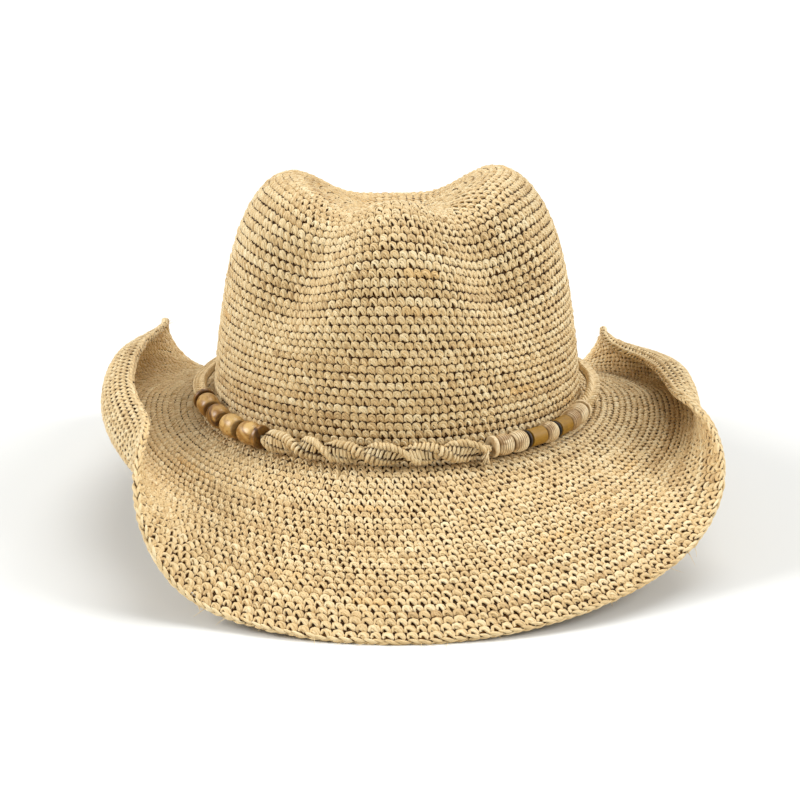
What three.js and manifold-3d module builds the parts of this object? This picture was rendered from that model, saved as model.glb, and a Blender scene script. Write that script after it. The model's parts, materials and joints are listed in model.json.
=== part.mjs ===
// Crocheted raffia cowboy hat: creased crown, brim with both sides rolled up, wired
// edging, sweatband, and a hatband of knotted cord strung with wood and cream beads.
// Millimetres, +Z up, the hat's front faces -Y. The origin is on the table, under the
// centre of the hat. Azimuths run from the front (0) towards +X (90).
import * as THREE from "three";
import { mergeVertices } from "three/addons/utils/BufferGeometryUtils.js";
import Module from "manifold-3d";

const wasm = await Module();
wasm.setup();

const SEAM_GAP = 0.3;

// Crown
const BASE_HALF_WIDTH = 85.6;
const BASE_HALF_LENGTH = 101;
const CROWN_HEIGHT = 113.8;
const CROWN_SQUARENESS = 4.2;
const TAPER = { front: 0.145, back: 0.134, side: 0.155 };
const FABRIC = 3;
// The crease down the middle: its depth grows over "deepens" (y), eases off over "eases" (y)
// and starts over "rises" (shares of the way up the wall).
const CREASE = {
  centre: -2.5, front: 3.6, deepest: 28, backShare: 0.56, halfWidth: 36.5, sharpness: 3,
  deepens: [-80, 5], eases: [25, 90], rises: [0.4, 0.64],
};
// The two pinches at the front, their azimuth moving from low to top over "turns" (heights);
// both fade towards the crown's middle over "fades" (distances from its axis).
const DENT = {
  lowAzimuth: 42, topAzimuth: 31, turns: [50, 100], height: 76, tall: 27, wide: 14, depth: 9.5,
  fades: [5, 45],
};
const SAG = { height: 88, tall: 40, wide: 19, drop: 9.5, rises: [10, 60], fades: [5, 60] };
const CROWN_SHARES = [
  0, 0.03, 0.08, 0.14, 0.2, 0.27, 0.34, 0.4, 0.46, 0.52, 0.58, 0.64, 0.71, 0.79, 0.88, 0.965,
];

// Brim
const BRIM_WIDTH = 83.9;
const FRONT_BACK_EXTRA = 9.1;
const ROOT_SLOPE = 15.8;
const FRONT_DROOP = 20.9;
const BACK_DROOP = 20.6;
const DROOP_FOCUS = 1.15;
const BREAK_DIP = 0.7;
const SIDE_RISE = 1;
const LEFT_ROLL = {
  side: -1, angle: 199.4, azimuth: 77.7, toFront: 44.3, toBack: 55.8, plateau: 6.7,
  starts: 0.448, power: 1.09, easeAt: 75, easeWidth: 14, ease: 3.6,
};
const RIGHT_ROLL = {
  side: 1, angle: 240, azimuth: 100, toFront: 45.3, toBack: 39.5, plateau: 5.1,
  starts: 0.567, power: 0.92, easeAt: 75, easeWidth: 14, ease: -15.6,
};
const DROOP_POWER = 0.7;
const BRIM_SHARES = [0, 0.16, 0.34, 0.5, 0.6, 0.7, 0.8, 0.9, 1];

// Edging round the brim, and the wire in it
const EDGING_RADIUS = 2.2;
const WIRE_TUNNEL_RADIUS = 1.1;
const EDGING_SLOT = 0.8;
const WIRE_RADIUS = 0.6;
const TABLE_FLAT = 0.7;

// Sweatband
const SWEATBAND_HEIGHT = 27;
const SWEATBAND_THICKNESS = 1.1;
const SWEATBAND_GAP = 0.4;

// Hatband: its places along the band are azimuths in degrees
const BAND_STANDOFF = 0.8;
const BAND_RADIUS = { left: 5.2, right: 4.7, back: 2.6 };
const BAND_CROSSES = [-40, 40];
const BAND_THINS = [70, 96];
const BAND_SHARE = 0.05;
const BAND_RISE = { height: 6.5, along: [46, 88] };
const BEAD_GAP = { wood: 3, disc: 0.4, cream: 0.5 };
const CORD_RADIUS = 0.8;
const BORE_RADIUS = 1.15;
const FRONT_BRAID = { from: -36.75, to: 23.8, radius: 4.2, flat: 0.45, turns: 3 };
const LEFT_BEADS_START = -37.25;
const RIGHT_BEADS_START = 24.7;
const SIDE_BRAID_RADIUS = 2.2;
const KNOT = { radius: 5, squash: 0.75, reach: 3.3 };
const JOIN = 0.3;

// Colours, by eye
const RAFFIA = 0xd9bd87;
const RAFFIA_LIGHT = 0xe6d0a0;
const WOOD = 0x9a6a2c;
const WOOD_LIGHT = 0xa98638;
const CREAM = 0xe9dcb8;
const DARK = 0x2a1c12;
const STEEL = 0x8d8f92;
const COTTON = 0xcdb892;

const CROWN_AZIMUTHS = 64;
const BRIM_AZIMUTHS = 90;
const BEAD_SIDES = 14;
const WIRE_SIDES = 5;
const CORD_SIDES = 6;
const BRAID_SIDES = 8;
const BRAID_RINGS = 54;
const DOME_SAMPLES = 240;
const BRIM_STEPS = 40;
const BAND_STEP = 0.05;

const rad = THREE.MathUtils.degToRad;
const clamp = THREE.MathUtils.clamp;

function smooth(x, from, to) {
  const t = clamp((x - from) / (to - from), 0, 1);
  return t * t * (3 - 2 * t);
}

function wrap(angle) {
  return angle - 2 * Math.PI * Math.round(angle / (2 * Math.PI));
}

// The dome's profile, radius and height as shares, spaced evenly along its arc.
function domeProfile() {
  const radius = (BASE_HALF_WIDTH + BASE_HALF_LENGTH) / 2;
  const points = [];
  let run = 0;
  for (let i = 0; i <= DOME_SAMPLES; i++) {
    const turn = (Math.PI / 2) * (i / DOME_SAMPLES);
    const r = Math.max(Math.cos(turn), 0) ** (2 / CROWN_SQUARENESS);
    const z = Math.sin(turn) ** (2 / CROWN_SQUARENESS);
    const last = points.at(-1);
    if (last) run += Math.hypot((r - last.r) * radius, (z - last.z) * CROWN_HEIGHT);
    points.push({ r, z, run });
  }
  points.forEach((p) => (p.share = p.run / run));
  return { points, arc: run };
}

const DOME = domeProfile();

function domeAt(share) {
  const points = DOME.points;
  let i = 1;
  while (i < points.length - 1 && points[i].share < share) i++;
  const a = points[i - 1];
  const b = points[i];
  const t = (share - a.share) / (b.share - a.share);
  return { r: a.r + (b.r - a.r) * t, z: a.z + (b.z - a.z) * t };
}

// The pinches push the wall in and pull the rows down.
function pinch(azimuth, height, reach) {
  const [low, high] = DENT.turns;
  const climb = clamp((height - low) / (high - low), 0, 1);
  const centre = rad(DENT.lowAzimuth + (DENT.topAzimuth - DENT.lowAzimuth) * climb);
  let inset = 0;
  let sag = 0;
  for (const side of [-1, 1]) {
    const across = wrap(azimuth - side * centre);
    const swell = (shape) =>
      Math.exp(-((across / rad(shape.wide)) ** 2) - ((height - shape.height) / shape.tall) ** 2);
    inset += DENT.depth * swell(DENT);
    sag += SAG.drop * swell(SAG);
  }
  inset *= smooth(reach, ...DENT.fades);
  sag *= smooth(height, ...SAG.rises) * smooth(reach, ...SAG.fades);
  return { inset, sag };
}

// A point of the crown's outer face; share runs from 0 at the brim to 1 at the top.
function crownPoint(azimuth, share) {
  const { r, z } = domeAt(share);
  const ahead = Math.cos(azimuth);
  const lean = TAPER.front * Math.max(ahead, 0) + TAPER.back * Math.max(-ahead, 0);
  const x = BASE_HALF_WIDTH * Math.sin(azimuth) * r * (1 - TAPER.side * z);
  const y = -BASE_HALF_LENGTH * ahead * r * (1 - lean * z);
  const height = z * CROWN_HEIGHT;
  const depth =
    (CREASE.front + (CREASE.deepest - CREASE.front) * smooth(y, ...CREASE.deepens)) *
    (1 - (1 - CREASE.backShare) * smooth(y, ...CREASE.eases));
  const across = Math.abs((x - CREASE.centre) / CREASE.halfWidth) ** CREASE.sharpness;
  const crease = depth * Math.exp(-across) * smooth(share, ...CREASE.rises);
  const reach = Math.hypot(x, y);
  const { inset, sag } = pinch(azimuth, height, reach);
  const pull = reach > 0 ? 1 - inset / reach : 1;
  return new THREE.Vector3(x * pull, y * pull, height - crease - sag);
}

// How far a roll has turned the brim up; "ease" tightens or opens it locally.
function rollAngle(roll, azimuth, share) {
  const offset = wrap(azimuth - roll.side * rad(roll.azimuth)) * roll.side;
  const width = rad(offset < 0 ? roll.toFront : roll.toBack);
  const fromEase = wrap(azimuth - roll.side * rad(roll.easeAt)) / rad(roll.easeWidth);
  const turn =
    roll.angle * Math.exp(-(Math.abs(offset / width) ** roll.plateau)) +
    roll.ease * Math.exp(-fromEase * fromEase);
  const start = clamp((share - roll.starts) / (1 - roll.starts), 0, 1);
  return rad(turn) * start ** roll.power;
}

// The brim's slope at a share of its width out from the crown; positive is upwards.
function brimSlope(azimuth, share) {
  const ahead = Math.cos(azimuth);
  const focus = Math.abs(ahead) ** DROOP_FOCUS;
  const droop = FRONT_DROOP * (0.5 + 0.5 * ahead) + BACK_DROOP * (0.5 - 0.5 * ahead);
  const base = -rad(ROOT_SLOPE + droop * share ** DROOP_POWER) * focus + rad(SIDE_RISE) * (1 - focus);
  return base + rollAngle(LEFT_ROLL, azimuth, share) + rollAngle(RIGHT_ROLL, azimuth, share);
}

function brimWidth(azimuth) {
  return BRIM_WIDTH + FRONT_BACK_EXTRA * Math.cos(2 * azimuth);
}

function outward(azimuth) {
  return new THREE.Vector3(
    Math.sin(azimuth) / BASE_HALF_WIDTH,
    -Math.cos(azimuth) / BASE_HALF_LENGTH,
    0,
  ).normalize();
}

// A point of the brim's middle layer; share runs from 0 at the crown to 1 at the free edge.
function brimPoint(azimuth, share) {
  const step = (share * brimWidth(azimuth)) / BRIM_STEPS;
  let reach = 0;
  let rise = -BREAK_DIP * Math.abs(Math.cos(azimuth)) ** DROOP_FOCUS;
  for (let i = 0; i < BRIM_STEPS; i++) {
    const slope = brimSlope(azimuth, (share * (i + 0.5)) / BRIM_STEPS);
    reach += Math.cos(slope) * step;
    rise += Math.sin(slope) * step;
  }
  return new THREE.Vector3(
    BASE_HALF_WIDTH * Math.sin(azimuth),
    -BASE_HALF_LENGTH * Math.cos(azimuth),
    rise,
  ).addScaledVector(outward(azimuth), reach);
}

function surfaceNormal(surface, azimuth, share) {
  const d = 1e-3;
  const low = Math.max(share - d, 0);
  const high = Math.min(share + d, 1 - 1e-6);
  const round = surface(azimuth + d, share).sub(surface(azimuth - d, share));
  const up = surface(azimuth, high).sub(surface(azimuth, low));
  return round.cross(up).normalize();
}

function offsetPoint(surface, azimuth, share, distance) {
  return surface(azimuth, share).addScaledVector(surfaceNormal(surface, azimuth, share), distance);
}

function signedVolume(points, faces) {
  let volume = 0;
  for (let i = 0; i < faces.length; i += 3) {
    const [a, b, c] = [0, 1, 2].map((k) => points[faces[i + k]]);
    volume += a.dot(b.clone().cross(c)) / 6;
  }
  return volume;
}

// A closed solid through rings of equal size. Open ends get a cap; "closed" joins the last
// ring to the first.
function latticeSolid(rings, closed) {
  const size = rings[0].length;
  const points = rings.flat();
  const faces = [];
  const spans = closed ? rings.length : rings.length - 1;
  for (let k = 0; k < spans; k++) {
    const low = k * size;
    const high = ((k + 1) % rings.length) * size;
    for (let i = 0; i < size; i++) {
      const j = (i + 1) % size;
      faces.push(low + i, low + j, high + j, low + i, high + j, high + i);
    }
  }
  if (!closed) {
    for (const [ring, flip] of [[0, true], [rings.length - 1, false]]) {
      const centre = new THREE.Vector3();
      rings[ring].forEach((p) => centre.addScaledVector(p, 1 / size));
      const tip = points.push(centre) - 1;
      for (let i = 0; i < size; i++) {
        const a = ring * size + i;
        const b = ring * size + ((i + 1) % size);
        faces.push(...(flip ? [b, a, tip] : [a, b, tip]));
      }
    }
  }
  if (signedVolume(points, faces) < 0) faces.reverse();
  return new THREE.BufferGeometry().setFromPoints(points).setIndex(faces);
}

function ringOf(count, pointAt) {
  return Array.from({ length: count }, (_, i) => pointAt((2 * Math.PI * i) / count));
}

function piece(name, geometry, colour, roughness, metalness = 0) {
  geometry.computeVertexNormals();
  const mesh = new THREE.Mesh(
    geometry,
    new THREE.MeshStandardMaterial({ color: colour, roughness, metalness }),
  );
  mesh.name = name;
  return mesh;
}

function makeCrown() {
  const outer = CROWN_SHARES.map((s) => ringOf(CROWN_AZIMUTHS, (a) => crownPoint(a, s)));
  const inner = CROWN_SHARES.filter((_, i) => i === 0 || i % 2 === 1).map((s) =>
    ringOf(CROWN_AZIMUTHS, (a) => offsetPoint(crownPoint, a, s, -FABRIC)),
  );
  inner[0].forEach((p) => p.setZ(0));
  const rings = [...outer.reverse(), ...inner];
  return piece("crown", latticeSolid(rings, false), RAFFIA, 0.85);
}

function brimEnd(azimuth) {
  return 1 - (2 * EDGING_RADIUS + SEAM_GAP) / brimWidth(azimuth);
}

function makeBrim() {
  const half = FABRIC / 2;
  const start = (a) => SEAM_GAP / brimWidth(a);
  const shareAt = (a, s) => start(a) + (brimEnd(a) - start(a)) * s;
  const layer = (height) =>
    BRIM_SHARES.map((s) =>
      ringOf(BRIM_AZIMUTHS, (a) => offsetPoint(brimPoint, a, shareAt(a, s), height)),
    );
  return piece("brim", latticeSolid([...layer(half), ...layer(-half).reverse()], true), RAFFIA, 0.85);
}

// A section point of the edging, at a turn measured from the outward direction.
function edgingPoint(azimuth, radius, turn) {
  const share = 1 - EDGING_RADIUS / brimWidth(azimuth);
  const normal = surfaceNormal(brimPoint, azimuth, share);
  const slope = brimSlope(azimuth, share);
  const out = outward(azimuth).multiplyScalar(Math.cos(slope));
  out.z = Math.sin(slope);
  return brimPoint(azimuth, share)
    .addScaledVector(out, radius * Math.cos(turn))
    .addScaledVector(normal, radius * Math.sin(turn));
}

function makeEdging() {
  const arc = (radius, count) => {
    const mouth = Math.asin(EDGING_SLOT / 2 / radius);
    const span = 2 * (Math.PI - mouth);
    return Array.from({ length: count }, (_, i) => [
      radius,
      -Math.PI + mouth + (span * i) / (count - 1),
    ]);
  };
  const section = [...arc(EDGING_RADIUS, 9), ...arc(WIRE_TUNNEL_RADIUS, 5).reverse()];
  const rings = section.map(([radius, turn]) =>
    ringOf(BRIM_AZIMUTHS, (a) => edgingPoint(a, radius, turn)),
  );
  return piece("brim_edging", latticeSolid(rings, true), RAFFIA_LIGHT, 0.85);
}

function makeWire() {
  const rings = ringOf(WIRE_SIDES, (turn) =>
    ringOf(BRIM_AZIMUTHS, (a) => edgingPoint(a, WIRE_RADIUS, turn)),
  );
  return piece("brim_wire", latticeSolid(rings, true), STEEL, 0.4, 1);
}

function makeSweatband() {
  const shares = [0, SWEATBAND_HEIGHT / DOME.arc];
  const layer = (inset) =>
    shares.map((s) => ringOf(CROWN_AZIMUTHS, (a) => offsetPoint(crownPoint, a, s, -inset)));
  const outside = FABRIC + SWEATBAND_GAP;
  const rings = [...layer(outside), ...layer(outside + SWEATBAND_THICKNESS).reverse()];
  return piece("sweatband", latticeSolid(rings, true), COTTON, 0.9);
}

// The hatband's centre line: it lies in the corner between the crown and the brim, and rides
// up the crown at the sides and the back.
function bandPoint(degrees) {
  const azimuth = rad(degrees);
  const { left, right, back } = BAND_RADIUS;
  const beads = left + (right - left) * smooth(degrees, ...BAND_CROSSES);
  const radius = beads + (back - beads) * smooth(Math.abs(degrees), ...BAND_THINS);
  const reach = radius + BAND_STANDOFF;
  const slope = brimSlope(azimuth, BAND_SHARE);
  const centre = brimPoint(azimuth, reach / Math.cos(slope) / brimWidth(azimuth));
  centre.z += (FABRIC / 2 + radius + BAND_STANDOFF) / Math.cos(slope);
  centre.z += BAND_RISE.height * smooth(Math.abs(degrees), ...BAND_RISE.along);
  return centre;
}

// The azimuth reached after a length along the centre line.
function bandAdvance(degrees, length, direction) {
  let left = length;
  let at = degrees;
  let point = bandPoint(at);
  const step = BAND_STEP * direction;
  while (left > 0) {
    const next = bandPoint(at + step);
    left -= next.distanceTo(point);
    point = next;
    at += step;
  }
  return at;
}

function tubeRings(from, to, count, sides, sectionAt) {
  return Array.from({ length: count + 1 }, (_, k) => {
    const share = k / count;
    const at = from + (to - from) * share;
    const centre = bandPoint(at);
    const ahead = bandPoint(at + 0.2).sub(bandPoint(at - 0.2)).normalize();
    const up = new THREE.Vector3(0, 0, 1).addScaledVector(ahead, -ahead.z).normalize();
    const out = new THREE.Vector3().crossVectors(ahead, up);
    return ringOf(sides, (turn) => {
      const [x, z] = sectionAt(share, turn);
      return centre.clone().addScaledVector(out, x).addScaledVector(up, z);
    });
  });
}

function roundCord(name, from, to, radius, count) {
  const section = (_, turn) => [radius * Math.cos(turn), radius * Math.sin(turn)];
  const rings = tubeRings(from, to, count, CORD_SIDES, section);
  return piece(name, latticeSolid(rings, false), RAFFIA_LIGHT, 0.85);
}

function makeFrontBraid() {
  const { from, to, radius, flat, turns } = FRONT_BRAID;
  const section = (share, turn) => {
    const twist = 2 * Math.PI * turns * share;
    const x = radius * Math.cos(turn);
    const z = radius * flat * Math.sin(turn);
    return [x * Math.cos(twist) - z * Math.sin(twist), x * Math.sin(twist) + z * Math.cos(twist)];
  };
  const rings = tubeRings(from, to, BRAID_RINGS, BRAID_SIDES, section);
  return piece("front_braid", latticeSolid(rings, false), RAFFIA_LIGHT, 0.85);
}

// Bead profiles: [radius, distance along the cord] round the outside.
function barrelProfile(radius, length) {
  const half = [[0.66, 0], [0.91, 0.1], [1, 0.32]];
  const back = half.map(([r, along]) => [r, 1 - along]).reverse();
  return [...half, ...back].map(([r, along]) => [r * radius, along * length]);
}

function tubeProfile(radius, length) {
  const [cut, edge] = [0.3, 0.4];
  return [[radius - cut, 0], [radius, edge], [radius, length - edge], [radius - cut, length]];
}

function groovedProfile(radius, length) {
  const [grooves, depth, half] = [3, 0.3, 0.22];
  const pitch = length / (grooves + 1);
  const points = [[0.8 * radius, 0], [0.97 * radius, 0.14 * pitch]];
  for (let i = 1; i <= grooves; i++) {
    points.push([radius, (i - half) * pitch], [radius - depth, i * pitch]);
    points.push([radius, (i + half) * pitch]);
  }
  points.push([0.97 * radius, length - 0.14 * pitch], [0.8 * radius, length]);
  return points;
}

function beadGeometry(profile, length) {
  const loop = [[BORE_RADIUS, 0], ...profile, [BORE_RADIUS, length], [BORE_RADIUS, 0]];
  const points = loop.map(([r, along]) => new THREE.Vector2(r, along - length / 2));
  return new THREE.LatheGeometry(points, BEAD_SIDES);
}

const { wood, disc, cream } = BEAD_GAP;
const WOOD_BEAD = { length: 10, radius: 5, gap: wood, profile: barrelProfile, colour: WOOD };
const LAST_WOOD_BEAD = { ...WOOD_BEAD, gap: disc };
const WOOD_DISC = { length: 2, radius: 5.1, gap: disc, profile: tubeProfile, colour: WOOD };
const WOOD_TUBE = {
  length: 8.6, radius: 3.8, gap: cream, profile: tubeProfile, colour: WOOD_LIGHT,
};
const CREAM_BEAD = { length: 7.2, radius: 4.5, gap: cream, profile: groovedProfile, colour: CREAM };
const CREAM_DISC = { length: 1.8, radius: 4.5, gap: cream, profile: tubeProfile, colour: CREAM };
const DARK_DISC = { length: 1.2, radius: 4.2, gap: cream, profile: tubeProfile, colour: DARK };

const LEFT_STRING = [
  ["wood_disc_front", WOOD_DISC],
  ["wood_bead_1", WOOD_BEAD],
  ["wood_bead_2", WOOD_BEAD],
  ["wood_bead_3", WOOD_BEAD],
  ["wood_bead_4", LAST_WOOD_BEAD],
  ["wood_disc_back", WOOD_DISC],
];
const RIGHT_STRING = [
  ["cream_disc_front", CREAM_DISC],
  ["cream_bead_1", CREAM_BEAD],
  ["cream_bead_2", CREAM_BEAD],
  ["dark_disc_1", DARK_DISC],
  ["wood_tube_1", WOOD_TUBE],
  ["cream_bead_3", CREAM_BEAD],
  ["dark_disc_2", DARK_DISC],
  ["wood_tube_2", WOOD_TUBE],
  ["cream_bead_4", CREAM_BEAD],
  ["cream_bead_5", CREAM_BEAD],
  ["cream_disc_back", CREAM_DISC],
];

// Threads beads along the hatband; returns the meshes and the azimuth where the string ends.
function threadBeads(string, start, direction) {
  let at = start;
  const meshes = string.map(([name, kind]) => {
    const end = bandAdvance(at, kind.length, direction);
    const a = bandPoint(at);
    const b = bandPoint(end);
    const shape = beadGeometry(kind.profile(kind.radius, kind.length), kind.length);
    const mesh = piece(name, shape, kind.colour, 0.3);
    mesh.position.copy(a).add(b).multiplyScalar(0.5);
    mesh.quaternion.setFromUnitVectors(new THREE.Vector3(0, 1, 0), b.sub(a).normalize());
    at = bandAdvance(end, kind.gap, direction);
    return mesh;
  });
  return { meshes, end: at };
}

function makeHatband() {
  const left = threadBeads(LEFT_STRING, LEFT_BEADS_START, -1);
  const right = threadBeads(RIGHT_STRING, RIGHT_BEADS_START, 1);
  const knot = piece("back_knot", new THREE.SphereGeometry(KNOT.radius, 14, 9), RAFFIA_LIGHT, 0.85);
  knot.scale.set(1, KNOT.squash, KNOT.squash);
  knot.position.copy(bandPoint(180));
  knot.position.y += KNOT.radius * KNOT.squash - BAND_RADIUS.back;
  knot.position.z += KNOT.radius * KNOT.squash - BAND_RADIUS.back;
  return [
    makeFrontBraid(),
    ...left.meshes,
    ...right.meshes,
    roundCord("left_bead_cord", FRONT_BRAID.from - JOIN, left.end, CORD_RADIUS, 18),
    roundCord("right_bead_cord", FRONT_BRAID.to + JOIN, right.end, CORD_RADIUS, 22),
    roundCord("left_braid", left.end - JOIN, -180 + KNOT.reach, SIDE_BRAID_RADIUS, 30),
    roundCord("right_braid", right.end + JOIN, 180 - KNOT.reach, SIDE_BRAID_RADIUS, 30),
    knot,
  ];
}

function toManifold(geometry) {
  return new wasm.Manifold(
    new wasm.Mesh({
      numProp: 3,
      vertProperties: new Float32Array(geometry.attributes.position.array),
      triVerts: new Uint32Array(geometry.index.array),
    }),
  );
}

function fromManifold(solid) {
  const mesh = solid.getMesh();
  const geometry = new THREE.BufferGeometry();
  geometry.setAttribute("position", new THREE.BufferAttribute(new Float32Array(mesh.vertProperties), 3));
  geometry.setIndex(new THREE.BufferAttribute(new Uint32Array(mesh.triVerts), 1));
  return geometry;
}

// Presses the edging flat where the brim rests on the table.
function pressFlat(edging) {
  edging.geometry.computeBoundingBox();
  const { min, max } = edging.geometry.boundingBox;
  const table = min.z + TABLE_FLAT;
  const block = new THREE.BoxGeometry(2 * (max.x - min.x), 2 * (max.y - min.y), 20);
  block.translate((min.x + max.x) / 2, (min.y + max.y) / 2, table - 10);
  block.deleteAttribute("normal");
  block.deleteAttribute("uv");
  const pressed = toManifold(edging.geometry).subtract(toManifold(mergeVertices(block)));
  edging.geometry = fromManifold(pressed);
  edging.geometry.computeVertexNormals();
  return edging;
}

// Sets the hat on the table with the middle of its outline over the origin.
function centreOnTable(group) {
  const box = new THREE.Box3().setFromObject(group);
  const middle = box.getCenter(new THREE.Vector3());
  group.children.forEach((mesh) => {
    mesh.position.x -= middle.x;
    mesh.position.y -= middle.y;
    mesh.position.z -= box.min.z;
  });
}

const hat = new THREE.Group();
hat.name = "cowboy_hat";
hat.add(makeCrown(), makeBrim(), pressFlat(makeEdging()), makeWire(), makeSweatband());
hat.add(...makeHatband());
centreOnTable(hat);

export default hat;
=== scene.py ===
import json
import math

import bpy
import numpy as np
from mathutils import Matrix, Vector


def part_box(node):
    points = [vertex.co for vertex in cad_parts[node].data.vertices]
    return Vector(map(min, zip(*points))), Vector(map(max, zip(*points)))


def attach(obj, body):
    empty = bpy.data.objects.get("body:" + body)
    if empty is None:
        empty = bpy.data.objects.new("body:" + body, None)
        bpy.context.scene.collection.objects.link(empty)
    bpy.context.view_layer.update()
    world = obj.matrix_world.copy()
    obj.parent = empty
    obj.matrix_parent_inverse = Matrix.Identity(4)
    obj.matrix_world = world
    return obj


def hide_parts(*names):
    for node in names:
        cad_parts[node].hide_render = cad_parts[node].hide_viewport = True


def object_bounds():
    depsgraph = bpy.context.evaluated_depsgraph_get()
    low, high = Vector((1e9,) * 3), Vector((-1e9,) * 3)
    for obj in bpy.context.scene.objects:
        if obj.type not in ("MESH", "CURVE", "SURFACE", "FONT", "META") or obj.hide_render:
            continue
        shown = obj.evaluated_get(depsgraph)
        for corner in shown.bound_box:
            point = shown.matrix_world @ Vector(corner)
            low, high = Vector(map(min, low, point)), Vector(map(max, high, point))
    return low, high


# Looks of a crocheted raffia cowboy hat. The shape formulas are the ones of the CAD part, in
# millimetres from the middle of the crown's base; meshes are in metres, in the frame's axes.

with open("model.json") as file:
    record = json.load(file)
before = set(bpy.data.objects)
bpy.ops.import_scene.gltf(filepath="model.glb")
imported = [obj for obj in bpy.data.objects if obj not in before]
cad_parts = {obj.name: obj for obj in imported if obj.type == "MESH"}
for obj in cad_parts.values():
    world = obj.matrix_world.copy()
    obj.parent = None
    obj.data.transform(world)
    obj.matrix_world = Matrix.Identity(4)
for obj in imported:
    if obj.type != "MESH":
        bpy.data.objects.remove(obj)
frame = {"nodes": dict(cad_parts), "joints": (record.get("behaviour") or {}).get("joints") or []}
cad_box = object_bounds()
rng = np.random.default_rng(7)

MM = 0.001
FABRIC = 3.0

# Crown
BASE_HALF_WIDTH, BASE_HALF_LENGTH, CROWN_HEIGHT = 85.6, 101.0, 113.8
CROWN_SQUARENESS = 4.2
TAPER = {"front": 0.145, "back": 0.134, "side": 0.155}
CREASE = {
    "centre": -2.5, "front": 3.6, "deepest": 28.0, "back_share": 0.56, "half_width": 36.5,
    "sharpness": 3.0, "deepens": (-80, 5), "eases": (25, 90), "rises": (0.4, 0.64),
}
DENT = {
    "low": 42.0, "top": 31.0, "turns": (50, 100), "height": 76.0, "tall": 27.0, "wide": 14.0,
    "depth": 9.5, "fades": (5, 45),
}
SAG = {
    "height": 88.0, "tall": 40.0, "wide": 19.0, "drop": 9.5, "rises": (10, 60), "fades": (5, 60),
}

# Brim
BRIM_WIDTH, FRONT_BACK_EXTRA = 83.9, 9.1
ROOT_SLOPE, FRONT_DROOP, BACK_DROOP = 15.8, 20.9, 20.6
DROOP_FOCUS, DROOP_POWER, BREAK_DIP, SIDE_RISE = 1.15, 0.7, 0.7, 1.0
LEFT_ROLL = {
    "side": -1, "angle": 199.4, "azimuth": 77.7, "to_front": 44.3, "to_back": 55.8,
    "plateau": 6.7, "starts": 0.448, "power": 1.09, "ease_at": 75, "ease_width": 14, "ease": 3.6,
}
RIGHT_ROLL = {
    "side": 1, "angle": 240.0, "azimuth": 100.0, "to_front": 45.3, "to_back": 39.5,
    "plateau": 5.1, "starts": 0.567, "power": 0.92, "ease_at": 75, "ease_width": 14,
    "ease": -15.6,
}
EDGING_RADIUS, SEAM_GAP = 2.2, 0.3

# Hatband
BAND_STANDOFF, BAND_SHARE = 0.8, 0.05
BAND_RADIUS = {"left": 5.2, "right": 4.7, "back": 2.6}
BAND_RISE = {"height": 6.5, "along": (46, 88)}
BAND_CROSSES, BAND_THINS = (-40, 40), (70, 96)
BRAID_FROM, BRAID_TO = -36.75, 23.8
BORE_RADIUS = 1.15
# Degrees from the back's middle where the plaits end, inside the knot
PLAIT_ENDS = 2.3

# Stitches: the height of a round at shares of the crown's or the brim's length, and the
# width of a stitch
CROWN_ROUND = {
    "share": (0.0, 0.26, 0.36, 0.5, 0.6, 1.0), "tall": (3.1, 3.15, 3.75, 4.0, 4.2, 4.3),
}
BRIM_ROUND = {
    "share": (0.0, 0.25, 0.45, 0.65, 0.84, 1.0), "tall": (3.6, 3.45, 3.0, 2.6, 2.9, 3.1),
}
CROWN_STITCH = {"share": (0.0, 1.0), "wide": (3.6, 3.6)}
BRIM_STITCH = {"share": (0.0, 0.5, 0.8, 1.0), "wide": (3.45, 3.75, 4.05, 4.6)}


def smooth(x, low, high):
    t = np.clip((x - low) / (high - low), 0, 1)
    return t * t * (3 - 2 * t)


def wrap(angle):
    return angle - 2 * np.pi * np.round(angle / (2 * np.pi))


def dome_profile():
    turn = np.linspace(0, np.pi / 2, 2000)
    radius = np.maximum(np.cos(turn), 0) ** (2 / CROWN_SQUARENESS)
    height = np.sin(turn) ** (2 / CROWN_SQUARENESS)
    mean = (BASE_HALF_WIDTH + BASE_HALF_LENGTH) / 2
    run = np.hypot(np.diff(radius) * mean, np.diff(height) * CROWN_HEIGHT).cumsum()
    return radius, height, np.append(0, run) / run[-1]


DOME = dome_profile()


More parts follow.
